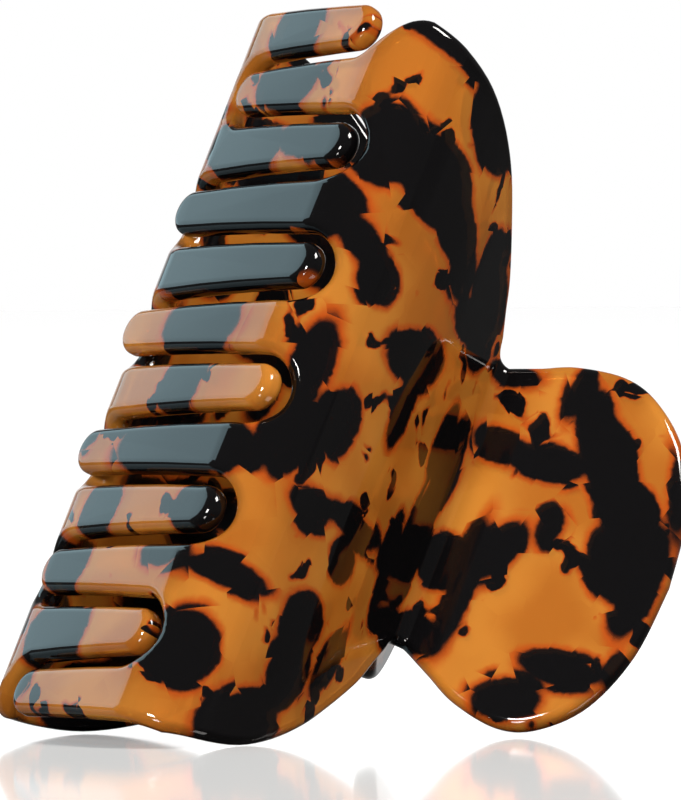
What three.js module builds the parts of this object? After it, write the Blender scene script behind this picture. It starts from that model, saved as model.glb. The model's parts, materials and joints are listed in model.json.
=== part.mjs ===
// Large acetate claw clip, closed and standing on its end. Millimetres, +Z up.
// Two equal heat-bent sheet halves interlock their teeth and turn on one steel pin.
import * as THREE from "three";

// ---------- driving dimensions ----------
const sheet = 3.6; // thickness of the acetate sheet
const hingeGap = 2.9; // from the pin's axis to the inner face of each half
const valleyRadius = 4.0; // bend of the sheet's middle beside the pin
const shoulderAngle = 34; // degrees, how steeply the jaw leaves the pin
const shoulderLength = 15.5;
const sideLength = 20.4; // gently curved side of the jaw
const cornerAngle = 8; // degrees, slope of the side where the tooth bend starts
const cornerRadius = 7.5; // middle of the bend into the teeth
const toothStartAngle = -86; // degrees, where the teeth leave the bend
const toothArch = 9; // degrees, how much a tooth curls along its length
const handleAngle = 52; // degrees, flare of a finger handle from the clip's mid plane
const handleLength = 36.5;
const handleHalfWidth = 27.3;
const handleLean = 3.2; // how far a handle's end lies towards one end of the pin
const waistHalfWidth = 22.0; // half the length of the sheet along the pin
const lobeHalfLength = 54.7; // half the length of a jaw
const halfShift = 1.4; // each half sits this far along the pin from the clip's centre
const jawShift = 0.5; // and each jaw this far back along its own half
const toothPitch = 9.4; // from a tooth to its neighbour on the other half
const teethPerHalf = 6;
const toothRootWidth = 7.9;
const toothTipWidth = 6.7;
const toothRise = 35.6; // from the bend to the tips of the middle teeth, along the sheet
const tipBow = 8.3; // how much shorter a tooth 50 mm from the middle is
const bowSpan = 50; // distance at which that bow is measured
const slotClearance = 0.9; // between a tooth's tip and the end of the slot it lies in
const endGap = 1.0; // between an outermost tooth and the edge beside it
const endRise = 2.7; // how steeply that edge leaves the tooth
const endBend = 4.5; // and how far it follows the jaw's side before it turns
const notchDepth = 2.6; // from the pin's middle to where a handle's side starts

const pinRadius = 1.0;
const pinHeadRadius = 1.9;
const pinHeadLength = 0.8;
const pinHeadChamfer = 0.5;
const boreClearance = 0.3; // between the pin and a knuckle's bore
const knuckleLength = 6.0;
const knuckleGap = 0.35; // along the pin, between neighbours
const glueGap = 0.3; // between a knuckle's pad and the sheet it is glued to
const knuckleClearance = 0.4; // between a knuckle's barrel and the other half
const padReachJaw = 5.2; // how far a pad follows the sheet from the pin towards the teeth
const padReachHandle = 4.2; // and towards the handle
const springLength = 12.6; // along the pin
const springWire = 0.9;
const springRadius = 1.95; // middle of the wire
const springTurns = 8;
const springLegLength = 16;

const pinLength = 40.0; // between its heads
const firstLean = 28; // degrees, about how much the pin leans once the clip is stood up

const bendStep = 11; // degrees of bend for each flat strip of a curved stretch
const roundSteps = 8; // straight pieces in a half circle
const handleSteps = 22; // straight pieces along one side of a handle
const lobeSteps = 16; // and along one side of a jaw
const wireSteps = 6; // straight pieces in a turn of the spring, of which an arm has half
const wireSides = 8;
const standTurns = 30; // small turns that settle the clip on its three resting points
const slotTries = 20; // halvings that find the bottom of a slot

const degrees = Math.PI / 180;
const halfSheet = sheet / 2;

// ---------- materials ----------
const acetate = new THREE.MeshStandardMaterial({ color: 0xb06a28, roughness: 0.12, metalness: 0 });
const acetateInner = new THREE.MeshStandardMaterial({ color: 0x8a4c1c, roughness: 0.2, metalness: 0 });
const steel = new THREE.MeshStandardMaterial({ color: 0xc8ccd0, roughness: 0.3, metalness: 1 });

// ---------- section of one half, across the pin ----------
// w runs from the teeth to the handles, v from the mid plane outwards. The middle surface is
// followed by its length s from the pin: s < 0 along the jaw, s > 0 along the handle.
const tooth = { start: toothStartAngle * degrees, end: (toothStartAngle - toothArch) * degrees };
const cornerLength = cornerRadius * (cornerAngle * degrees - tooth.start);
const cornerS = valleyRadius * shoulderAngle * degrees + shoulderLength + sideLength + cornerLength;
const toothReach = cornerS + toothRise;
const jawStretches = [
  { length: valleyRadius * shoulderAngle * degrees, to: shoulderAngle * degrees },
  { length: shoulderLength, to: shoulderAngle * degrees },
  { length: sideLength, to: cornerAngle * degrees },
  { length: cornerLength, to: tooth.start },
  { length: toothRise + sheet, to: tooth.end }, // runs on a little past the tips
];
const handleStretches = [
  { length: valleyRadius * handleAngle * degrees, to: handleAngle * degrees },
  { length: handleLength, to: handleAngle * degrees },
];

// Stations along one side of the section; direction is -1 for the jaw and +1 for the handle.
function stations(stretches, direction) {
  const list = [{ s: 0, w: 0, v: hingeGap + halfSheet, angle: 0 }];
  for (const stretch of stretches) {
    const from = list[list.length - 1];
    const turn = stretch.to - from.angle;
    const steps = Math.max(1, Math.ceil(Math.abs(turn) / (bendStep * degrees) - 1e-9));
    const piece = stretch.length / steps;
    // The chord's length keeps the strips flat.
    for (let i = 1; i <= steps; i++) {
      const last = list[list.length - 1];
      const angle = from.angle + (turn * (i - 0.5)) / steps;
      list.push({
        s: last.s + direction * piece,
        w: last.w + direction * piece * Math.cos(angle),
        v: last.v + piece * Math.sin(angle),
        angle: from.angle + (turn * i) / steps,
      });
    }
  }
  return list;
}

const section = [
  ...stations(jawStretches, -1).reverse(),
  ...stations(handleStretches, 1).slice(1),
];

// Outward unit normal at each station, mitred so that both faces stay flat between stations.
section.forEach((here, i) => {
  const before = section[Math.max(0, i - 1)];
  const after = section[Math.min(section.length - 1, i + 1)];
  const a = Math.atan2(here.v - before.v, here.w - before.w);
  const b = Math.atan2(after.v - here.v, after.w - here.w);
  const first = i === 0 ? b : a;
  const second = i === section.length - 1 ? a : b;
  const middle = (first + second) / 2;
  const stretch = 1 / Math.cos((second - first) / 2);
  here.nw = -Math.sin(middle) * stretch;
  here.nv = Math.cos(middle) * stretch;
});

// Point of the sheet at u along the pin, s along the section and offset outwards.
function bent(u, s, offset) {
  let i = 1;
  while (i < section.length - 1 && section[i].s < s) i++;
  const a = section[i - 1];
  const b = section[i];
  const t = (s - a.s) / (b.s - a.s);
  const mix = (key) => a[key] + (b[key] - a[key]) * t;
  return [u, mix("v") + offset * mix("nv"), mix("w") + offset * mix("nw")];
}

// ---------- flat outline of one half ----------
// x runs along the pin from the half's own middle, y along the section.
const bow = (u) => ((u - halfShift) / bowSpan) ** 2;
const tipAt = (u) => -(toothReach - tipBow * bow(u));
const cornerStart = section.find((p) => p.s >= -(cornerS - cornerLength) - 1e-6);
const cornerEnd = section.find((p) => p.s >= -cornerS - 1e-6);

// Bottom of the slot that takes the other half's tooth at u: as low as the end of that tooth allows.
function slotAt(u) {
  const [, v, w] = bent(0, tipAt(u), 0);
  const room = (s, side) => {
    const face = bent(0, s, side * halfSheet);
    return Math.hypot(Math.max(0, face[1] + v), Math.max(0, face[2] - w - halfSheet));
  };
  let [low, high] = [cornerEnd.s - 4 * slotClearance, cornerStart.s];
  for (let i = 0; i < slotTries; i++) {
    const middle = (low + high) / 2;
    if (Math.min(room(middle, -1), room(middle, 0), room(middle, 1)) < slotClearance) low = middle;
    else high = middle;
  }
  return high;
}

function arc(cx, cy, rx, ry, fromAngle, toAngle, steps) {
  const points = [];
  for (let i = 0; i <= steps; i++) {
    const a = fromAngle + ((toAngle - fromAngle) * i) / steps;
    points.push(new THREE.Vector2(cx + rx * Math.cos(a), cy + ry * Math.sin(a)));
  }
  return points;
}

// One side of the handle, from its notch to its end, before it leans.
const handleSide = new THREE.SplineCurve([
  new THREE.Vector2(waistHalfWidth, notchDepth),
  new THREE.Vector2(waistHalfWidth + 0.38 * (handleHalfWidth - waistHalfWidth), handleLength * 0.2),
  new THREE.Vector2(waistHalfWidth + 0.8 * (handleHalfWidth - waistHalfWidth), handleLength * 0.34),
  new THREE.Vector2(handleHalfWidth, handleLength * 0.54),
  new THREE.Vector2(handleHalfWidth * 0.93, handleLength * 0.7),
  new THREE.Vector2(handleHalfWidth * 0.73, handleLength * 0.86),
  new THREE.Vector2(handleHalfWidth * 0.4, handleLength * 0.965),
  new THREE.Vector2(0, handleLength),
]);

// One side of the jaw, from the notch out to the tooth bend.
const lobeGrowth = lobeHalfLength - waistHalfWidth;
const lobeSide = new THREE.SplineCurve([
  new THREE.Vector2(waistHalfWidth + 0.07 * lobeGrowth, -1.0),
  new THREE.Vector2(waistHalfWidth + 0.18 * lobeGrowth, -3.6),
  new THREE.Vector2(waistHalfWidth + 0.345 * lobeGrowth, -0.15 * cornerS),
  new THREE.Vector2(waistHalfWidth + 0.65 * lobeGrowth, -0.37 * cornerS),
  new THREE.Vector2(waistHalfWidth + 0.89 * lobeGrowth, -0.61 * cornerS),
  new THREE.Vector2(lobeHalfLength, -0.86 * cornerS),
]);

function leaned(p, side) {
  const along = p.y / handleLength;
  return new THREE.Vector2(side * p.x - handleLean * along * (2 - along), p.y);
}

// Point of the jaw's side, moved along with the jaw.
const shifted = (p, side) => new THREE.Vector2(side * p.x + jawShift, p.y);

const notch = (side) =>
  new THREE.QuadraticBezierCurve(
    leaned(handleSide.points[0], side),
    new THREE.Vector2(side * waistHalfWidth, 0),
    shifted(lobeSide.points[0], side),
  );

// Middle of tooth i, counted from the top, along the pin.
const toothMiddle = (i) => halfShift + toothPitch * (teethPerHalf - 1.5 - 2 * i);

// Edges of a tooth at its tip, and of the slot above it.
function toothTip(i) {
  const middle = toothMiddle(i);
  const tip = tipAt(middle);
  const r = toothTipWidth / 2;
  return arc(middle, tip + r, r, r, -Math.PI, 0, roundSteps);
}

function slotEnd(i) {
  const middle = toothMiddle(i) + toothPitch;
  const r = toothPitch - toothRootWidth / 2;
  return arc(middle, slotAt(middle) - r, r, r, Math.PI, 0, roundSteps);
}

// Edge from the top tooth out to the jaw's lobe, clear of the other half's outermost tooth.
function endCurve() {
  const x = toothMiddle(0) + toothPitch - toothRootWidth / 2 - endGap;
  const clear = cornerEnd.s - (cornerEnd.v + bent(0, tipAt(toothMiddle(0) + toothPitch), 0)[1]);
  const lobe = shifted(lobeSide.points[lobeSide.points.length - 1], 1);
  return new THREE.CubicBezierCurve(
    new THREE.Vector2(x, clear - slotClearance),
    new THREE.Vector2(x + endGap / 2, clear + endRise),
    new THREE.Vector2(lobe.x, lobe.y - endBend),
    lobe,
  );
}

function outline() {
  const points = [];
  const add = (list) => list.forEach((p) => points.push(p));
  add(handleSide.getPoints(handleSteps).map((p) => leaned(p, 1)));
  add(handleSide.getPoints(handleSteps).reverse().slice(1).map((p) => leaned(p, -1)));
  add(notch(-1).getPoints(4).slice(1));
  add(lobeSide.getPoints(lobeSteps).slice(1).map((p) => shifted(p, -1)));
  const last = teethPerHalf - 1;
  for (let i = last; i >= 0; i--) {
    add(toothTip(i));
    if (i > 0) add(slotEnd(i));
    else add(endCurve().getPoints(8));
  }
  add(lobeSide.getPoints(lobeSteps).reverse().slice(1).map((p) => shifted(p, 1)));
  add(notch(1).getPoints(4).reverse().slice(1, -1));
  return points;
}

// ---------- bending the flat outline into a solid ----------
// Keeps the part of a polygon where sign * (y - line) >= 0.
function keepSide(polygon, line, sign) {
  const kept = [];
  polygon.forEach((p, i) => {
    const q = polygon[(i + 1) % polygon.length];
    const dp = sign * (p.y - line);
    const dq = sign * (q.y - line);
    if (dp >= 0) kept.push(p);
    if (dp > 0 !== dq > 0 && dp !== 0 && dq !== 0) {
      // Both triangles at an edge find the same point, because they work from its lower end.
      const [a, b] = p.y < q.y || (p.y === q.y && p.x < q.x) ? [p, q] : [q, p];
      const t = (line - a.y) / (b.y - a.y);
      kept.push(new THREE.Vector2(a.x + (b.x - a.x) * t, line));
    }
  });
  return kept;
}

function bentSheet(points) {
  const indices = new Map();
  const flat = [];
  const indexOf = (p) => {
    const key = Math.round(p.x * 1e4) + "," + Math.round(p.y * 1e4);
    if (!indices.has(key)) {
      indices.set(key, flat.length);
      flat.push(p);
    }
    return indices.get(key);
  };
  const triangles = [];
  for (const face of THREE.ShapeUtils.triangulateShape(points, [])) {
    const corners = face.map((i) => points[i]);
    for (let k = 1; k < section.length; k++) {
      const low = keepSide(corners, section[k - 1].s, 1);
      const strip = low.length > 2 ? keepSide(low, section[k].s, -1) : [];
      const ids = strip.map(indexOf).filter((id, i, all) => id !== all[(i + 1) % all.length]);
      for (let j = 2; j < ids.length; j++) triangles.push([ids[0], ids[j - 1], ids[j]]);
    }
  }
  const solid = triangles.filter(([a, b, c]) => a !== b && b !== c && a !== c);
  const edges = new Set();
  solid.forEach(([a, b, c]) => [[a, b], [b, c], [c, a]].forEach((e) => edges.add(e.join())));
  const count = flat.length;
  const faces = [];
  for (const [a, b, c] of solid) {
    faces.push(a, c, b); // outer face
    faces.push(a + count, b + count, c + count); // inner face
    for (const [p, q] of [[a, b], [b, c], [c, a]])
      if (!edges.has([q, p].join())) faces.push(p, q, q + count, p, q + count, p + count);
  }
  const positions = [];
  for (const offset of [halfSheet, -halfSheet])
    flat.forEach((p) => positions.push(...bent(p.x, p.y, offset)));
  const geometry = new THREE.BufferGeometry();
  geometry.setAttribute("position", new THREE.Float32BufferAttribute(positions, 3));
  geometry.setIndex(faces);
  return geometry;
}

// ---------- small solids ----------
// A knuckle: a barrel round the pin, with a pad that follows the inner face it is glued to.
function knuckleGeometry() {
  const padOffset = -(halfSheet + glueGap);
  const padEnds = [padReachHandle, -padReachJaw];
  const between = section.filter((p) => p.s < padReachHandle && p.s > -padReachJaw).map((p) => p.s);
  const top = [padEnds[0], ...between.reverse(), padEnds[1]].map((s) => bent(0, s, padOffset));
  const profile = new THREE.Shape();
  top.forEach(([, v, w], i) => (i ? profile.lineTo(w, v) : profile.moveTo(w, v)));
  profile.absarc(0, 0, hingeGap - knuckleClearance, Math.PI, Math.PI * 2, false);
  profile.closePath();
  const bore = new THREE.Path();
  bore.absarc(0, 0, pinRadius + boreClearance, 0, Math.PI * 2, true);
  profile.holes.push(bore);
  const block = new THREE.ExtrudeGeometry(profile, {
    depth: knuckleLength,
    bevelEnabled: false,
    curveSegments: 2 * roundSteps,
  });
  // The profile's x becomes w, its y stays v, and the extrusion runs along the pin.
  return block.rotateY(-Math.PI / 2).translate(knuckleLength, 0, 0);
}

// The steel pin with a formed head at each end, turned about its own axis.
function pinGeometry() {
  const half = pinLength / 2;
  const end = half + pinHeadLength;
  const profile = [
    [0, -end],
    [pinHeadRadius - pinHeadChamfer, -end],
    [pinHeadRadius, pinHeadChamfer - end],
    [pinHeadRadius, -half],
    [pinRadius, -half],
    [pinRadius, half],
    [pinHeadRadius, half],
    [pinHeadRadius, end - pinHeadChamfer],
    [pinHeadRadius - pinHeadChamfer, end],
    [0, end],
  ].map(([r, y]) => new THREE.Vector2(r, y));
  return new THREE.LatheGeometry(profile, 3 * roundSteps).rotateZ(-Math.PI / 2);
}

// Inner face of the handle, which a spring leg presses on.
const handleEnd = section[section.length - 1];
const legFace = {
  w: handleEnd.w - halfSheet * handleEnd.nw,
  v: handleEnd.v - halfSheet * handleEnd.nv,
  angle: handleAngle * degrees,
};
const legFaceDistance = legFace.v * Math.cos(legFace.angle) - legFace.w * Math.sin(legFace.angle);

// Half of the torsion spring: a half coil from the spring's middle, then the leg that
// presses on a handle. The leg starts at a tangent and meets the handle's inner face.
class SpringArm extends THREE.Curve {
  constructor() {
    super();
    const drop = springRadius + legFaceDistance - springWire / 2 - glueGap;
    const close = Math.asin(drop / springLegLength);
    this.legAngle = legFace.angle + close;
    this.turns = Math.floor(springTurns / 2) + this.legAngle / (2 * Math.PI) - 0.25;
    this.coilLength = this.turns * 2 * Math.PI * springRadius;
  }
  getPoint(t, target = new THREE.Vector3()) {
    const run = t * (this.coilLength + springLegLength);
    const coil = Math.min(run, this.coilLength) / this.coilLength;
    const turn = coil * this.turns * 2 * Math.PI;
    const leg = Math.max(0, run - this.coilLength);
    const from = springWire / 2;
    return target.set(
      from + coil * (springLength / 2 - 2 * from),
      springRadius * Math.sin(turn) + leg * Math.sin(this.legAngle),
      springRadius * Math.cos(turn) + leg * Math.cos(this.legAngle),
    );
  }
}

function springArmGeometry() {
  const wire = new THREE.Shape();
  wire.absarc(0, 0, springWire / 2, 0, Math.PI * 2, false);
  return new THREE.ExtrudeGeometry(wire, {
    steps: springTurns * wireSteps,
    curveSegments: wireSides / 2,
    bevelEnabled: false,
    extrudePath: new SpringArm(),
  });
}

// ---------- assembly, in the pin's own frame: x along the pin, y outwards, z to the handles ----------
const clip = new THREE.Group();

function place(name, geometry, material, parent, x = 0) {
  const mesh = new THREE.Mesh(geometry, material);
  mesh.name = name;
  mesh.position.x = x;
  parent.add(mesh);
  return mesh;
}

const half = bentSheet(outline());
const knuckle = knuckleGeometry();
const arm = springArmGeometry();
const outerKnuckle = pinLength / 2 - knuckleLength - knuckleGap;
const innerKnuckle = outerKnuckle - knuckleLength - knuckleGap;
for (const name of ["front", "back"]) {
  const side = new THREE.Group();
  if (name === "back") side.rotation.z = Math.PI; // the back half is the front one turned over
  place(name + "_half", half, acetate, side, -halfShift);
  place(name + "_outer_knuckle", knuckle, acetateInner, side, outerKnuckle);
  place(name + "_inner_knuckle", knuckle, acetateInner, side, -innerKnuckle - knuckleLength);
  place(name + "_spring_arm", arm, steel, side);
  clip.add(side);
}
place("hinge_pin", pinGeometry(), steel, clip);

// ---------- standing pose ----------
// The clip stands on both jaw lobes and on the front handle, the pin leaning in the XZ plane.
clip.quaternion.setFromRotationMatrix(
  new THREE.Matrix4().makeBasis(
    new THREE.Vector3(Math.sin(firstLean * degrees), 0, Math.cos(firstLean * degrees)),
    new THREE.Vector3(0, -1, 0),
    new THREE.Vector3(Math.cos(firstLean * degrees), 0, -Math.sin(firstLean * degrees)),
  ),
);
const up = new THREE.Vector3(0, 0, 1);
const root = new THREE.Group();
root.add(clip);

function lowest(name, wanted) {
  const mesh = clip.getObjectByName(name);
  const corners = mesh.geometry.getAttribute("position");
  let best = null;
  for (let i = 0; i < corners.count; i++) {
    const p = new THREE.Vector3().fromBufferAttribute(corners, i);
    if (!wanted(p)) continue;
    p.applyMatrix4(mesh.matrixWorld);
    if (!best || p.z < best.z) best = p;
  }
  return best;
}

for (let i = 0; i < standTurns; i++) {
  root.updateMatrixWorld(true);
  const jaw = lowest("front_half", (p) => p.z < 0);
  const farJaw = lowest("back_half", (p) => p.z < 0);
  const handle = lowest("front_half", (p) => p.z > 0);
  const normal = handle.clone().sub(jaw).cross(farJaw.clone().sub(jaw)).normalize();
  clip.quaternion.premultiply(new THREE.Quaternion().setFromUnitVectors(normal, up));
  const pin = new THREE.Vector3(1, 0, 0).applyQuaternion(clip.quaternion);
  const turn = new THREE.Quaternion().setFromAxisAngle(up, -Math.atan2(pin.y, pin.x));
  clip.quaternion.premultiply(turn);
}
root.updateMatrixWorld(true);
const box = new THREE.Box3().setFromObject(root, true);
const middle = box.getCenter(new THREE.Vector3());
clip.position.set(-middle.x, -middle.y, -box.min.z);

export default root;
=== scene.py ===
# Large tortoiseshell claw clip, shut and standing on end on a pale reflecting floor. Metres.
import json
import math

import bpy
import numpy as np
from mathutils import Matrix, Vector


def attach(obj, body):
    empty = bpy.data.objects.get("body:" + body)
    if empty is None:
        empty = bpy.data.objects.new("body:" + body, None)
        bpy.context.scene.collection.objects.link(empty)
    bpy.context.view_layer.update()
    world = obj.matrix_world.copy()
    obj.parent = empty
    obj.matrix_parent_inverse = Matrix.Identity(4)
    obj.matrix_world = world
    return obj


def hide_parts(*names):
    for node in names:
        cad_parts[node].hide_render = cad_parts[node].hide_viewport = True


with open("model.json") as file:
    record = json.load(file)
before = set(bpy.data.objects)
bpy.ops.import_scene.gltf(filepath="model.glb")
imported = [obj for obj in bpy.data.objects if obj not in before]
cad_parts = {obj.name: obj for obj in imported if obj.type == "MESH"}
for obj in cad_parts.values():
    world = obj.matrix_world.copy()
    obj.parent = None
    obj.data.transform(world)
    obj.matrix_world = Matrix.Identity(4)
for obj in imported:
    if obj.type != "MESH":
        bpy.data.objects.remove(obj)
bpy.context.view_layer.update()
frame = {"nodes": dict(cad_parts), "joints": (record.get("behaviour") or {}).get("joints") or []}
scene = bpy.context.scene
mm = 0.001
print("frame loaded:", len(frame["nodes"]), "nodes")


# ---------- the hinge's own axes: u along the pin, v out of the front half, w towards the handles ----------
def nodePoints(name):
    mesh = frame["nodes"][name].data
    flat = np.zeros(len(mesh.vertices) * 3, np.float32)
    mesh.vertices.foreach_get("co", flat)
    return flat.reshape(-1, 3).astype(float)


hinge = frame["joints"][0]
pinCentre = Vector(hinge["pos_m"])
alongPin = -Vector(hinge["axis"]).normalized()  # the joint opens about the other way along the pin
bothHalves = np.concatenate([nodePoints("front_half"), nodePoints("back_half")])
towardsTeeth = Vector(bothHalves.mean(axis=0)) - pinCentre  # the two halves are one shape turned over
towardsHandles = -(towardsTeeth - alongPin * towardsTeeth.dot(alongPin)).normalized()
outOfFront = towardsHandles.cross(alongPin)
hingeAxes = Matrix((alongPin, outOfFront, towardsHandles)).transposed().to_4x4()
hingeFrame = Matrix.Translation(pinCentre) @ hingeAxes
turnedOver = Matrix.Rotation(math.pi, 4, "Z")  # about w, in the hinge's axes

half = {  # one half of the clip, in mm and degrees
    "sheet": 3.6,
    "hingeGap": 2.9,
    "valleyRadius": 4.0,
    "shoulderAngle": 34,
    "shoulderLength": 15.5,
    "sideLength": 20.4,
    "cornerAngle": 8,
    "cornerRadius": 7.5,
    "toothStartAngle": -86,
    "toothArch": 9,
    "handleAngle": 52,
    "handleLength": 36.5,
    "handleHalfWidth": 27.3,
    "handleLean": 3.2,
    "waistHalfWidth": 22.0,
    "notchDepth": 2.6,
    "lobeHalfLength": 54.7,
    "halfShift": 1.4,
    "jawShift": 0.5,
    "toothPitch": 9.4,
    "teeth": 6,
    "toothRootWidth": 7.9,
    "toothTipWidth": 6.7,
    "toothRise": 35.6,
    "tipBow": 8.3,
    "bowSpan": 50,
    "slotClearance": 0.9,
    "endGap": 1.0,
    "endRise": 2.7,
    "endBend": 4.5,
    "edgeRound": 1.5,
    "edgeSteps": 5,
    "bendStep": 5,
    "flatStep": 12.0,
}
rad = math.radians


def stretchesOf():
    toothLength = half["toothRise"] + half["sheet"]  # runs on a little past the tips
    corner = half["cornerRadius"] * rad(half["cornerAngle"] - half["toothStartAngle"])
    jaw = [
        (half["valleyRadius"] * rad(half["shoulderAngle"]), 0, half["shoulderAngle"]),
        (half["shoulderLength"], half["shoulderAngle"], half["shoulderAngle"]),
        (half["sideLength"], half["shoulderAngle"], half["cornerAngle"]),
        (corner, half["cornerAngle"], half["toothStartAngle"]),
        (toothLength, half["toothStartAngle"], half["toothStartAngle"] - half["toothArch"]),
    ]
    handle = [
        (half["valleyRadius"] * rad(half["handleAngle"]), 0, half["handleAngle"]),
        (half["handleLength"], half["handleAngle"], half["handleAngle"]),
    ]
    return jaw, handle


jawStretches, handleStretches = stretchesOf()
cornerEnd = sum(length for length, _, _ in jawStretches[:4])
cornerStart = cornerEnd - jawStretches[3][0]
toothReach = cornerEnd + half["toothRise"]


# Middle surface of the sheet at s along it: (w, v, slope), s below 0 on the jaw and above 0 on the handle.
def sectionAt(s):
    stretches, way = (jawStretches, -1) if s < 0 else (handleStretches, 1)
    left = abs(s)
    w = 0.0
    v = half["hingeGap"] + half["sheet"] / 2
    for number, (length, fromAngle, toAngle) in enumerate(stretches):
        a, b = rad(fromAngle), rad(toAngle)
        last = number == len(stretches) - 1
        run = left if last else min(left, length)
        bend = (b - a) / length
        slope = a + bend * run
        if abs(bend) < 1e-9:
            w += way * run * math.cos(a)
            v += run * math.sin(a)
        else:
            w += way * (math.sin(slope) - math.sin(a)) / bend
            v += (math.cos(a) - math.cos(slope)) / bend
        left -= run
        if left <= 1e-9:
            return w, v, way * slope
    return w, v, way * slope


def bent(x, s, offset):
    w, v, slope = sectionAt(s)
    return x - half["halfShift"], v + offset * math.cos(slope), w - offset * math.sin(slope)


sheetSpan = 0.14  # length of sheet that the flat map covers
mapMiddle = (0.5, 0.72)  # where the sheet's zero lies on the flat map


# ---------- flat outline of one half, x along the pin and y along the sheet ----------
def spline(points, steps):
    out = []
    padded = [points[0]] + points + [points[-1]]
    for i in range(len(points) - 1):
        p0, p1, p2, p3 = padded[i : i + 4]
        for k in range(steps):
            t = k / steps
            out.append(tuple(catmullRom(p0[c], p1[c], p2[c], p3[c], t) for c in (0, 1)))
    return out + [points[-1]]


def catmullRom(a, b, c, d, t):
    v0 = (c - a) / 2
    v1 = (d - b) / 2
    return (2 * b - 2 * c + v0 + v1) * t**3 + (-3 * b + 3 * c - 2 * v0 - v1) * t**2 + v0 * t + b


def bezier(points, steps):
    n = len(points) - 1
    out = []
    for k in range(steps + 1):
        t = k / steps
        weights = [math.comb(n, i) * t**i * (1 - t) ** (n - i) for i in range(n + 1)]
        out.append(tuple(sum(wt * p[c] for wt, p in zip(weights, points)) for c in (0, 1)))
    return out


def arc(cx, cy, r, fromAngle, toAngle, steps):
    angles = [fromAngle + (toAngle - fromAngle) * i / steps for i in range(steps + 1)]
    return [(cx + r * math.cos(a), cy + r * math.sin(a)) for a in angles]


def toothMiddle(i):
    return half["halfShift"] + half["toothPitch"] * (half["teeth"] - 1.5 - 2 * i)


def tipAt(x):
    return half["tipBow"] * ((x - half["halfShift"]) / half["bowSpan"]) ** 2 - toothReach


# Where the slot for the other half's tooth ends: as low as the end of that tooth allows.
def slotAt(x):
    tipW, tipV, _ = sectionAt(tipAt(x))
    sheetHalf = half["sheet"] / 2
    low, high = -cornerEnd - 4 * half["slotClearance"], -cornerStart
    for _ in range(20):
        s = (low + high) / 2
        room = []
        for offset in (-sheetHalf, 0, sheetHalf):
            _, v, w = bent(0, s, offset)
            room.append(math.hypot(max(0, v + tipV), max(0, w - tipW - sheetHalf)))
        if min(room) < half["slotClearance"]:
            low = s
        else:
            high = s
    return high


def halfOutline():
    waist, wide, length = half["waistHalfWidth"], half["handleHalfWidth"], half["handleLength"]
    handle = [(waist, half["notchDepth"])]
    handle += [(waist + part * (wide - waist), length * y) for part, y in ((0.38, 0.2), (0.8, 0.34))]
    crown = ((1, 0.54), (0.93, 0.7), (0.73, 0.86), (0.4, 0.965), (0, 1))
    handle += [(wide * part, length * y) for part, y in crown]
    grow = half["lobeHalfLength"] - waist
    lobe = [(waist + 0.07 * grow, -1.0), (waist + 0.18 * grow, -3.6)]
    flare = ((0.345, 0.15), (0.65, 0.37), (0.89, 0.61), (1, 0.86))
    lobe += [(waist + part * grow, -y * cornerEnd) for part, y in flare]

    def leaned(p, side):
        along = p[1] / length
        return side * p[0] - half["handleLean"] * along * (2 - along), p[1]

    def shifted(p, side):
        return side * p[0] + half["jawShift"], p[1]

    def notch(side):
        return bezier([leaned(handle[0], side), (side * waist, 0), shifted(lobe[0], side)], 8)

    handleLine = spline(handle, 7)
    lobeLine = spline(lobe, 8)
    points = [leaned(p, 1) for p in handleLine]
    points += [leaned(p, -1) for p in handleLine[-2::-1]]
    points += notch(-1)[1:]
    points += [shifted(p, -1) for p in lobeLine[1:]]
    tipRadius = half["toothTipWidth"] / 2
    slotRadius = half["toothPitch"] - half["toothRootWidth"] / 2
    for i in range(half["teeth"] - 1, -1, -1):
        x = toothMiddle(i)
        points += arc(x, tipAt(x) + tipRadius, tipRadius, -math.pi, 0, 18)
        if i > 0:
            x += half["toothPitch"]
            points += arc(x, slotAt(x) - slotRadius, slotRadius, math.pi, 0, 22)
    x = toothMiddle(0) + half["toothPitch"] - half["toothRootWidth"] / 2 - half["endGap"]
    reach = sectionAt(-cornerEnd)[1] + sectionAt(tipAt(toothMiddle(0) + half["toothPitch"]))[1]
    clear = -cornerEnd - reach
    end = shifted(lobe[-1], 1)
    points += bezier(
        [
            (x, clear - half["slotClearance"]),
            (x + half["endGap"] / 2, clear + half["endRise"]),
            (end[0], end[1] - half["endBend"]),
            end,
        ],
        18,
    )
    points += [shifted(p, 1) for p in lobeLine[-2::-1]]
    points += notch(1)[-2:0:-1]
    return points


def selectOnly(piece):
    for other in bpy.context.selected_objects:
        other.select_set(False)
    piece.select_set(True)
    bpy.context.view_layer.objects.active = piece


def applyModifier(piece, kind, **settings):
    selectOnly(piece)
    modifier = piece.modifiers.new(kind.lower(), kind)
    for key, value in settings.items():
        setattr(modifier, key, value)
    bpy.ops.object.modifier_apply(modifier=modifier.name)


def closeAndTurnOut(piece):
    selectOnly(piece)
    bpy.ops.object.mode_set(mode="EDIT")
    bpy.ops.mesh.select_all(action="SELECT")
    bpy.ops.mesh.remove_doubles(threshold=1e-7)
    bpy.ops.mesh.normals_make_consistent(inside=False)
    bpy.ops.object.mode_set(mode="OBJECT")


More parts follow.
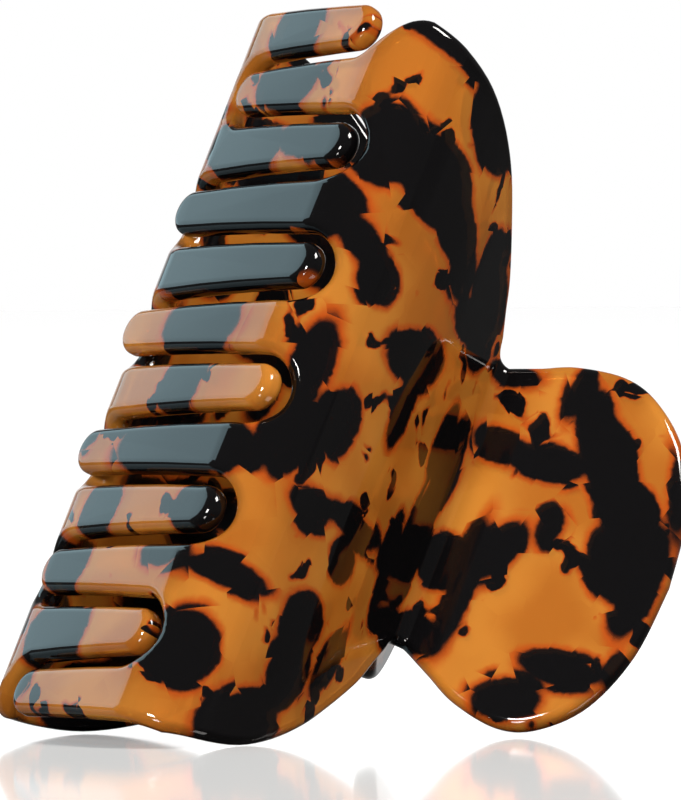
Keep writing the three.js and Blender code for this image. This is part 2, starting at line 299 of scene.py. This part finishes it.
# The flat sheet, cut to its outline with its edges rounded over.
def flatSheet(name):
    curve = bpy.data.curves.new(name, "CURVE")
    curve.dimensions = "2D"
    curve.fill_mode = "BOTH"
    line = curve.splines.new("POLY")
    outline = halfOutline()
    line.points.add(len(outline) - 1)
    for point, (x, y) in zip(line.points, outline):
        point.co = (x * mm, y * mm, 0, 1)
    line.use_cyclic_u = True
    curve.extrude = (half["sheet"] / 2 - half["edgeRound"]) * mm
    curve.bevel_depth = half["edgeRound"] * mm
    curve.bevel_resolution = half["edgeSteps"]
    curve.offset = -half["edgeRound"] * mm
    piece = bpy.data.objects.new(name, curve)
    scene.collection.objects.link(piece)
    selectOnly(piece)
    bpy.ops.object.convert(target="MESH")
    return bpy.context.view_layer.objects.active


# Lines across the sheet where it may bend, close together on the tight bends.
def foldLines():
    lines = [0.0]
    for stretches, way in ((jawStretches, -1), (handleStretches, 1)):
        s = 0.0
        for length, fromAngle, toAngle in stretches:
            steps = max(abs(toAngle - fromAngle) / half["bendStep"], length / half["flatStep"], 1)
            steps = math.ceil(steps)
            lines += [way * (s + length * (i + 1) / steps) for i in range(steps)]
            s += length
    return sorted(lines)


def makeHalf(name, place):
    piece = flatSheet(name)
    closeAndTurnOut(piece)
    bpy.ops.object.mode_set(mode="EDIT")
    for s in foldLines():
        bpy.ops.mesh.select_all(action="SELECT")
        bpy.ops.mesh.bisect(plane_co=(0, s * mm, 0), plane_no=(0, 1, 0), threshold=1e-7)
    bpy.ops.object.mode_set(mode="OBJECT")
    mesh = piece.data
    layer = mesh.uv_layers.new(name="sheet")
    for loop in mesh.loops:
        co = mesh.vertices[loop.vertex_index].co
        layer.data[loop.index].uv = (co.x / sheetSpan + mapMiddle[0], co.y / sheetSpan + mapMiddle[1])
    for vertex in mesh.vertices:
        x, y, z = vertex.co / mm
        vertex.co = Vector(bent(x, y, z)) * mm
    mesh.transform(hingeFrame @ place)
    closeAndTurnOut(piece)
    bpy.ops.object.shade_smooth()
    applyModifier(piece, "WEIGHTED_NORMAL", mode="FACE_AREA", weight=100, thresh=0.0001)
    print(name, "made:", len(mesh.polygons), "faces")
    return piece


# ---------- materials ----------
def addGroup(name, inputs, outputs):
    group = bpy.data.node_groups.new(name, "ShaderNodeTree")
    for label, kind, value in inputs:
        socket = group.interface.new_socket(label, in_out="INPUT", socket_type=kind)
        socket.default_value = value
    for label, kind in outputs:
        group.interface.new_socket(label, in_out="OUTPUT", socket_type=kind)
    return group, group.nodes.new("NodeGroupInput"), group.nodes.new("NodeGroupOutput")


def addNode(tree, kind, values=(), **settings):
    node = tree.nodes.new(kind)
    for key, value in settings.items():
        setattr(node, key, value)
    for socket, value in enumerate(values):
        if value is None:
            continue
        if hasattr(value, "is_linked"):
            tree.links.new(value, node.inputs[socket])
        else:
            node.inputs[socket].default_value = value
    return node


def maths(tree, operation, *values):
    return addNode(tree, "ShaderNodeMath", values, operation=operation).outputs[0]


def vectorMaths(tree, operation, *values):
    node = addNode(tree, "ShaderNodeVectorMath", values, operation=operation)
    return node.outputs["Value" if operation in ("LENGTH", "DOT_PRODUCT") else "Vector"]


def smoothRange(tree, value, fromMin, fromMax, toMin, toMax):
    values = (value, fromMin, fromMax, toMin, toMax)
    return addNode(tree, "ShaderNodeMapRange", values, interpolation_type="SMOOTHSTEP")


shardWarp = {"shardSize": 4.6, "shardShift": 1.8, "ragSize": 1.7, "ragShift": 0.7}


# Place on the sheet in mm, broken into small angular shards that are shifted against each other.
def makeShardGroup():
    group, given, result = addGroup(
        "shardPlace",
        [("Map", "NodeSocketVector", (0, 0, 0)), ("Shift", "NodeSocketVector", (0, 0, 0))],
        [("Place", "NodeSocketVector")],
    )
    flat = vectorMaths(group, "SUBTRACT", given.outputs["Map"], (*mapMiddle, 0))
    flat = vectorMaths(group, "MULTIPLY", flat, (sheetSpan / mm, sheetSpan / mm, 0))
    moved = vectorMaths(group, "ADD", flat, given.outputs["Shift"])
    cells = addNode(group, "ShaderNodeTexVoronoi", voronoi_dimensions="2D", feature="F1")
    cells.inputs["Scale"].default_value = 1 / shardWarp["shardSize"]
    group.links.new(moved, cells.inputs["Vector"])
    jump = vectorMaths(group, "SUBTRACT", cells.outputs["Color"], (0.5, 0.5, 0.5))
    jump = vectorMaths(group, "MULTIPLY", jump, (shardWarp["shardShift"], shardWarp["shardShift"], 0))
    rag = addNode(group, "ShaderNodeTexNoise", noise_dimensions="2D")
    rag.inputs["Scale"].default_value = 1 / shardWarp["ragSize"]
    rag.inputs["Detail"].default_value = 2.0
    group.links.new(moved, rag.inputs["Vector"])
    torn = vectorMaths(group, "SUBTRACT", rag.outputs["Color"], (0.5, 0.5, 0.5))
    torn = vectorMaths(group, "MULTIPLY", torn, (shardWarp["ragShift"], shardWarp["ragShift"], 0))
    place = vectorMaths(group, "ADD", vectorMaths(group, "ADD", moved, jump), torn)
    group.links.new(place, result.inputs["Place"])
    return group


tones = {
    "cloudScale": 0.06,  # per mm
    "cloudFrom": 0.35,
    "cloudTo": 0.65,
    "rimStart": 0.1,  # mm outside a dark patch
    "rimEnd": 1.1,
    "coreStart": -0.25,
    "coreEnd": 0.3,
}


# Colours of the sheet from the distance in mm to the nearest dark patch, below 0 inside it.
def makeToneGroup():
    group, given, result = addGroup(
        "tortoiseTone",
        [
            ("Distance", "NodeSocketFloat", 1.0),
            ("Place", "NodeSocketVector", (0, 0, 0)),
            ("Amber", "NodeSocketColor", (0.52, 0.165, 0.018, 1)),
            ("Honey", "NodeSocketColor", (0.66, 0.25, 0.033, 1)),
            ("Ember", "NodeSocketColor", (0.55, 0.09, 0.008, 1)),
            ("Dark", "NodeSocketColor", (0.004, 0.0035, 0.004, 1)),
        ],
        [("Color", "NodeSocketColor")],
    )
    clouds = addNode(group, "ShaderNodeTexNoise", noise_dimensions="2D")
    clouds.inputs["Scale"].default_value = tones["cloudScale"]
    clouds.inputs["Detail"].default_value = 1.0
    group.links.new(given.outputs["Place"], clouds.inputs["Vector"])
    cloud = smoothRange(group, clouds.outputs[0], tones["cloudFrom"], tones["cloudTo"], 0, 1)
    amber = addNode(group, "ShaderNodeMix", data_type="RGBA")
    group.links.new(cloud.outputs[0], amber.inputs["Factor"])
    group.links.new(given.outputs["Amber"], amber.inputs[6])
    group.links.new(given.outputs["Honey"], amber.inputs[7])
    rim = smoothRange(group, given.outputs["Distance"], tones["rimStart"], tones["rimEnd"], 1, 0)
    warm = addNode(group, "ShaderNodeMix", data_type="RGBA")
    group.links.new(rim.outputs[0], warm.inputs["Factor"])
    group.links.new(amber.outputs[2], warm.inputs[6])
    group.links.new(given.outputs["Ember"], warm.inputs[7])
    core = smoothRange(group, given.outputs["Distance"], tones["coreStart"], tones["coreEnd"], 1, 0)
    done = addNode(group, "ShaderNodeMix", data_type="RGBA")
    group.links.new(core.outputs[0], done.inputs["Factor"])
    group.links.new(warm.outputs[2], done.inputs[6])
    group.links.new(given.outputs["Dark"], done.inputs[7])
    group.links.new(done.outputs[2], result.inputs["Color"])
    return group


# Dark patches listed for each sheet: middle x, y, half sizes and turn, in mm and degrees. Most are
# tortoiseshell spots; those round the neck, about y 8 to -14 mm near the middle, are painted shade where the
# two halves overlap.
frontSpotsAndShade = [
    (-18, 33.5, 2, 1.2, 0), (-19.5, 26, 2, 4.5, 0), (-25.3, 20, 2.8, 4.6, -15), (-4, 33, 7, 2.6, 0),
    (-3, 28, 5, 3.4, -40), (4, 28, 6, 4, -30), (11, 22.5, 6, 3.2, -30), (16, 18.5, 5, 2.2, -20),
    (9.5, 13.5, 2.6, 4.6, 0), (0.3, 17.4, 2.6, 1.8, 0), (21, 14, 3.2, 1.3, 0), (10, 33.5, 4, 0.8, -20),
    # The patches round the neck in these rows, near y 8 to -14 mm, are painted shade where the two halves
    # overlap, among real spots.
    (-5, 11.5, 4.2, 2.2, 15), (-11, 8, 7, 1.6, 0), (10, 5.5, 2, 4, 0), (-20.5, 2.5, 2.8, 4.8, 0),
    (20.8, 2.5, 1.5, 3.8, 0), (-9, 3, 3.6, 4.6, 0), (4, -3, 6, 3.2, 0), (-9, -6, 9, 4, 0),
    (5, -8.5, 4.6, 2.6, 0), (-22, -3, 3, 3.4, 0), (24, -10, 6.5, 5, 0), (30, -15, 6, 4.6, 0),
    (22, -16, 3, 4.6, 0), (26, -23, 3.6, 2.6, 0), (31, -28, 3.6, 5, 30), (34.5, -35, 6, 7.6, 15),
    (36, -43.5, 5.4, 4.4, 0), (46, -27, 4.6, 6.4, 35), (52.6, -38, 1.8, 7, 10), (11.5, -26, 3.6, 6.2, -10),
    (4, -25, 3.8, 1.8, 0), (-3.2, -36, 4.2, 3.4, 0), (-16.5, -35, 2.4, 3.4, 0), (17, -38, 2.8, 2.4, 0),
    (21.5, -41.5, 3, 1.8, -35), (-9, -42, 4.6, 2.6, 0), (1, -43, 6.6, 2.2, 0), (-42, -44.5, 5.2, 3.8, 0),
    (-30, -43, 1.8, 4.4, 0), (-48, -33, 4.6, 7, -35), (-38, -28, 4.6, 4, 30), (-31, -29, 4, 4.6, 0),
    (-33, -19, 5, 2.2, 20), (-19, -9, 4.8, 3.4, 0), (-12, -13.5, 4, 2.6, 0), (-14.5, -25, 1.8, 6.4, 0),
    (-20, -25, 2.6, 2.6, 0), (-12.5, -49, 4, 4, 0), (25, -49, 4.4, 5, 0), (44.3, -67, 4.6, 6.4, 0),
    (25, -67, 4.8, 20, 0), (6, -65, 4.8, 8.6, 0), (-13, -60, 4.8, 13, 0), (-10, -84, 2.6, 2.6, 0),
    (-28.5, -53, 2.8, 4, 0), (-31, -75, 4.4, 4.2, 0), (-48.5, -79, 4, 5, 0),
]
backToothPatches = [
    (-50, -60, 5, 5.6, 0), (-31.5, -58, 5, 8, 0), (-33, -76, 3.4, 8, 0), (-12.7, -66, 5, 19, 0),
    (6, -65.5, 4.8, 5, 0), (25, -80, 4.6, 4, 0), (25, -57, 4.8, 3.8, 0), (44, -58, 4.8, 6.6, 0),
]
# Above its teeth the back sheet gets the front one's patches the other way round, the spots and the painted
# shade at the neck alike.
backSpotsAndShade = backToothPatches + [
    (-x, y, wide, tall, -turn) for x, y, wide, tall, turn in frontSpotsAndShade if y > -47
]
acetate = {
    "roughness": 0.05,
    "ior": 1.49,
    "transmission": 0.45,
    "patchBlend": 1.2,
    "patchGrow": 0.7,  # mm added round every patch
    "speckScale": 0.16,
    "speckSlope": -26.0,
    "speckStart": 18.6,
    "speckBlend": 0.4,
}


def makeAcetate(name, patches, shift):
    material = bpy.data.materials.new(name)
    material.use_nodes = True
    tree = material.node_tree
    surface = tree.nodes["Principled BSDF"]
    flatMap = addNode(tree, "ShaderNodeUVMap", uv_map="sheet")
    place = addNode(tree, "ShaderNodeGroup", node_tree=shardGroup)
    tree.links.new(flatMap.outputs[0], place.inputs["Map"])
    nearest = None
    # The patches are tortoiseshell spots and, round the neck, painted shade; all are painted dark alike.
    for x, y, wide, tall, turn in patches:
        frameNode = addNode(tree, "ShaderNodeMapping", vector_type="TEXTURE")
        tree.links.new(place.outputs[0], frameNode.inputs["Vector"])
        frameNode.inputs["Location"].default_value = (x, y, 0)
        frameNode.inputs["Rotation"].default_value = (0, 0, rad(turn))
        frameNode.inputs["Scale"].default_value = (wide, tall, 1)
        size = min(wide, tall)
        away = maths(tree, "MULTIPLY_ADD", vectorMaths(tree, "LENGTH", frameNode.outputs[0]), size, -size)
        if nearest is None:
            nearest = away
        else:
            nearest = maths(tree, "SMOOTH_MIN", nearest, away, acetate["patchBlend"])
    far = vectorMaths(tree, "ADD", place.outputs[0], (*shift, 0))
    specks = addNode(tree, "ShaderNodeTexNoise", noise_dimensions="2D")
    specks.inputs["Scale"].default_value = acetate["speckScale"]
    specks.inputs["Detail"].default_value = 1.0
    tree.links.new(far, specks.inputs["Vector"])
    speck = maths(tree, "MULTIPLY_ADD", specks.outputs[0], acetate["speckSlope"], acetate["speckStart"])
    nearest = maths(tree, "SMOOTH_MIN", nearest, speck, acetate["speckBlend"])
    nearest = maths(tree, "SUBTRACT", nearest, acetate["patchGrow"])
    tone = addNode(tree, "ShaderNodeGroup", node_tree=toneGroup)
    tree.links.new(nearest, tone.inputs["Distance"])
    tree.links.new(place.outputs[0], tone.inputs["Place"])
    tree.links.new(tone.outputs[0], surface.inputs["Base Color"])
    surface.inputs["Roughness"].default_value = acetate["roughness"]
    surface.inputs["IOR"].default_value = acetate["ior"]
    surface.inputs["Transmission Weight"].default_value = acetate["transmission"]
    return material


shardGroup = makeShardGroup()
toneGroup = makeToneGroup()


def makeKnuckleAcetate():
    material = bpy.data.materials.new("hingeAcetate")
    material.use_nodes = True
    tree = material.node_tree
    surface = tree.nodes["Principled BSDF"]
    where = addNode(tree, "ShaderNodeTexCoord")
    clouds = addNode(tree, "ShaderNodeTexNoise")
    clouds.inputs["Scale"].default_value = 180
    clouds.inputs["Detail"].default_value = 2.0
    tree.links.new(where.outputs["Object"], clouds.inputs["Vector"])
    ramp = addNode(tree, "ShaderNodeMix", data_type="RGBA")
    tree.links.new(clouds.outputs[0], ramp.inputs["Factor"])
    ramp.inputs[6].default_value = (0.10, 0.03, 0.006, 1)
    ramp.inputs[7].default_value = (0.36, 0.14, 0.03, 1)
    tree.links.new(ramp.outputs[2], surface.inputs["Base Color"])
    surface.inputs["Roughness"].default_value = 0.12
    surface.inputs["Transmission Weight"].default_value = 0.3
    return material


def makeSteel():
    material = bpy.data.materials.new("springSteel")
    material.use_nodes = True
    tree = material.node_tree
    surface = tree.nodes["Principled BSDF"]
    where = addNode(tree, "ShaderNodeTexCoord")
    drawn = addNode(tree, "ShaderNodeTexNoise")
    drawn.inputs["Scale"].default_value = 2500
    drawn.inputs["Detail"].default_value = 2.0
    tree.links.new(where.outputs["Object"], drawn.inputs["Vector"])
    rough = addNode(tree, "ShaderNodeMapRange", (drawn.outputs[0], 0.3, 0.7, 0.22, 0.4))
    tree.links.new(rough.outputs[0], surface.inputs["Roughness"])
    surface.inputs["Base Color"].default_value = (0.56, 0.56, 0.57, 1)
    surface.inputs["Metallic"].default_value = 1.0
    return material


def finish(piece, material, body, node):
    piece.data.materials.clear()
    piece.data.materials.append(material)
    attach(piece, body)
    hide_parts(node)


frontAcetate = makeAcetate("frontTortoiseshell", frontSpotsAndShade, (31, 17))
backAcetate = makeAcetate("backTortoiseshell", backSpotsAndShade, (-47, 63))
knuckleAcetate = makeKnuckleAcetate()
steel = makeSteel()
print("materials made")

frontSheet = makeHalf("front_sheet", Matrix.Identity(4))
finish(frontSheet, frontAcetate, "front", "front_half")
backSheet = makeHalf("back_sheet", turnedOver)
finish(backSheet, backAcetate, "back", "back_half")


# ---------- hinge: knuckles and pin keep their place and get softened edges ----------
def softened(node, name, width, segments=2):
    piece = frame["nodes"][node].copy()
    piece.data = piece.data.copy()
    piece.name = name
    piece.parent = None
    for key in list(piece.keys()):
        del piece[key]
    scene.collection.objects.link(piece)
    closeAndTurnOut(piece)
    edges = {"limit_method": "ANGLE", "angle_limit": rad(40)}
    applyModifier(piece, "BEVEL", width=width * mm, segments=segments, **edges)
    selectOnly(piece)
    bpy.ops.object.shade_smooth_by_angle(angle=rad(35))
    return piece


for body in ("front", "back"):
    for which in ("outer", "inner"):
        node = f"{body}_{which}_knuckle"
        block = softened(node, f"{body}_{which}_knuckle_block", 0.3)
        finish(block, knuckleAcetate, body, node)
pin = softened("hinge_pin", "headed_pin", 0.15)
finish(pin, steel, "front", "hinge_pin")

spring = {  # mm
    "length": 12.6,
    "wire": 0.9,
    "radius": 1.95,
    "turns": 8,
    "leg": 16,
    "glueGap": 0.3,
    "turnSteps": 20,
}


# Half of the torsion spring: its coil from the middle of the pin, then the leg against a handle.
def springArm(name, place):
    sheetHalf = half["sheet"] / 2
    w, v, slope = sectionAt(sum(length for length, _, _ in handleStretches))
    faceW, faceV = w + sheetHalf * math.sin(slope), v - sheetHalf * math.cos(slope)
    faceAway = faceV * math.cos(slope) - faceW * math.sin(slope)
    drop = spring["radius"] + faceAway - spring["wire"] / 2 - spring["glueGap"]
    legAngle = slope + math.asin(drop / spring["leg"])
    turns = spring["turns"] // 2 + legAngle / (2 * math.pi) - 0.25
    steps = round(turns * spring["turnSteps"])
    points = []
    for i in range(steps + 1):
        turn = i / steps * turns * 2 * math.pi
        u = spring["wire"] / 2 + i / steps * (spring["length"] / 2 - spring["wire"])
        points.append((u, spring["radius"] * math.sin(turn), spring["radius"] * math.cos(turn)))
    end = points[-1]
    reach = spring["leg"] - spring["wire"] / 2
    points.append((end[0], end[1] + reach * math.sin(legAngle), end[2] + reach * math.cos(legAngle)))
    curve = bpy.data.curves.new(name, "CURVE")
    curve.dimensions = "3D"
    line = curve.splines.new("POLY")
    line.points.add(len(points) - 1)
    for point, co in zip(line.points, points):
        point.co = (*(c * mm for c in co), 1)
    curve.bevel_depth = spring["wire"] / 2 * mm
    curve.bevel_resolution = 3
    curve.use_fill_caps = True
    piece = bpy.data.objects.new(name, curve)
    scene.collection.objects.link(piece)
    selectOnly(piece)
    bpy.ops.object.convert(target="MESH")
    piece = bpy.context.view_layer.objects.active
    piece.data.transform(hingeFrame @ place)
    closeAndTurnOut(piece)
    bpy.ops.object.shade_smooth_by_angle(angle=rad(50))
    return piece


for body, place in (("front", Matrix.Identity(4)), ("back", turnedOver)):
    arm = springArm(f"{body}_spring_wire", place)
    finish(arm, steel, body, f"{body}_spring_arm")
print("hinge made")


# ---------- floor, light and camera ----------
view = {
    "turn": 39.0,  # degrees from -Y towards -X
    "rise": 1.0,
    "distance": 1.352,
    "pinRight": 85.4,  # how far the pin's middle lies right of and below the aim
    "pinDown": 90.3,
    "focal": 9464,
}


def aim(turn, rise):
    t, r = rad(turn), rad(rise)
    return Vector((-math.sin(t) * math.cos(r), -math.cos(t) * math.cos(r), math.sin(r)))


def makeCamera():
    data = bpy.data.cameras.new("camera")
    camera = bpy.data.objects.new("camera", data)
    scene.collection.objects.link(camera)
    back = aim(view["turn"], view["rise"])
    right = Vector((0, 0, 1)).cross(back).normalized()
    up = back.cross(right)
    perPixel = view["distance"] / view["focal"]
    target = pinCentre - right * view["pinRight"] * perPixel + up * view["pinDown"] * perPixel
    place = target + back * view["distance"]
    camera.matrix_world = Matrix.Translation(place) @ Matrix((right, up, back)).transposed().to_4x4()
    data.sensor_fit = "VERTICAL"
    data.sensor_height = 36
    data.lens = view["focal"] * 36 / 800
    data.clip_end = 20
    scene.camera = camera
    return back


def makeFloor():
    bpy.ops.mesh.primitive_plane_add(size=12, location=(0, 0, 0))
    floor = bpy.context.active_object
    floor.name = "floor"
    material = bpy.data.materials.new("paleFloor")
    material.use_nodes = True
    surface = material.node_tree.nodes["Principled BSDF"]
    tree = material.node_tree
    seen = addNode(tree, "ShaderNodeLightPath")
    for socket, dim, bright in (("Base Color", 0.12, 0.95), ("Emission Color", 0.0, 1.0)):
        shade = addNode(tree, "ShaderNodeMix", data_type="RGBA")
        tree.links.new(seen.outputs["Is Camera Ray"], shade.inputs["Factor"])
        shade.inputs[6].default_value = (dim, dim, dim, 1)
        shade.inputs[7].default_value = (bright, bright, bright, 1)
        tree.links.new(shade.outputs[2], surface.inputs[socket])
    surface.inputs["Metallic"].default_value = 0.75
    surface.inputs["Roughness"].default_value = 0.07
    surface.inputs["Specular IOR Level"].default_value = 0.0
    surface.inputs["Emission Strength"].default_value = 0.29
    floor.data.materials.append(material)


def softLight(name, direction, distance, width, height, power, color=(1, 1, 1)):
    data = bpy.data.lights.new(name, "AREA")
    data.shape = "RECTANGLE"
    data.size = width
    data.size_y = height
    data.energy = power
    data.color = color
    light = bpy.data.objects.new(name, data)
    scene.collection.objects.link(light)
    centre = Vector((0, 0, 0.05))
    light.location = centre + direction.normalized() * distance
    light.rotation_euler = direction.to_track_quat("Z", "Y").to_euler()
    return light


studio = {
    "room": 0.10,
    "backdrop": 1.0,
    # direction from the clip, distance, width, height in metres, watts, colour
    "toothPanel": ((-0.27, 0.86, 0.43), 0.6, 0.5, 0.5, 1.5, (0.62, 0.9, 1.0)),
    "leftBox": ((-0.88, -0.42, 0.24), 1.3, 0.25, 0.25, 18, (1, 0.97, 0.93)),
    "rightBox": ((0.3, -0.6, 0.75), 1.3, 0.5, 0.5, 23, (1, 0.97, 0.93)),
}


def makeLights(back):
    world = bpy.data.worlds.new("studio")
    scene.world = world
    world.use_nodes = True
    tree = world.node_tree
    sky = tree.nodes["Background"]
    seen = addNode(tree, "ShaderNodeLightPath")
    way = addNode(tree, "ShaderNodeTexCoord")
    ahead = vectorMaths(tree, "DOT_PRODUCT", way.outputs["Generated"], tuple(-back))
    backdrop = addNode(tree, "ShaderNodeMapRange", (ahead, 0.82, 0.97, studio["room"], studio["backdrop"]))
    backdrop.interpolation_type = "SMOOTHSTEP"
    level = maths(tree, "MAXIMUM", backdrop.outputs[0], seen.outputs["Is Camera Ray"])
    tree.links.new(level, sky.inputs["Strength"])
    sky.inputs["Color"].default_value = (1, 1, 1, 1)
    for name in ("toothPanel", "leftBox", "rightBox"):
        direction, distance, width, height, power, color = studio[name]
        softLight(name, Vector(direction), distance, width, height, power, color)
    scene.view_settings.view_transform = "Standard"


makeFloor()
makeLights(makeCamera())

for name, node in frame["nodes"].items():
    node.data.materials.clear()
    metal = "spring" in name or "pin" in name
    node.data.materials.append(steel if metal else knuckleAcetate)
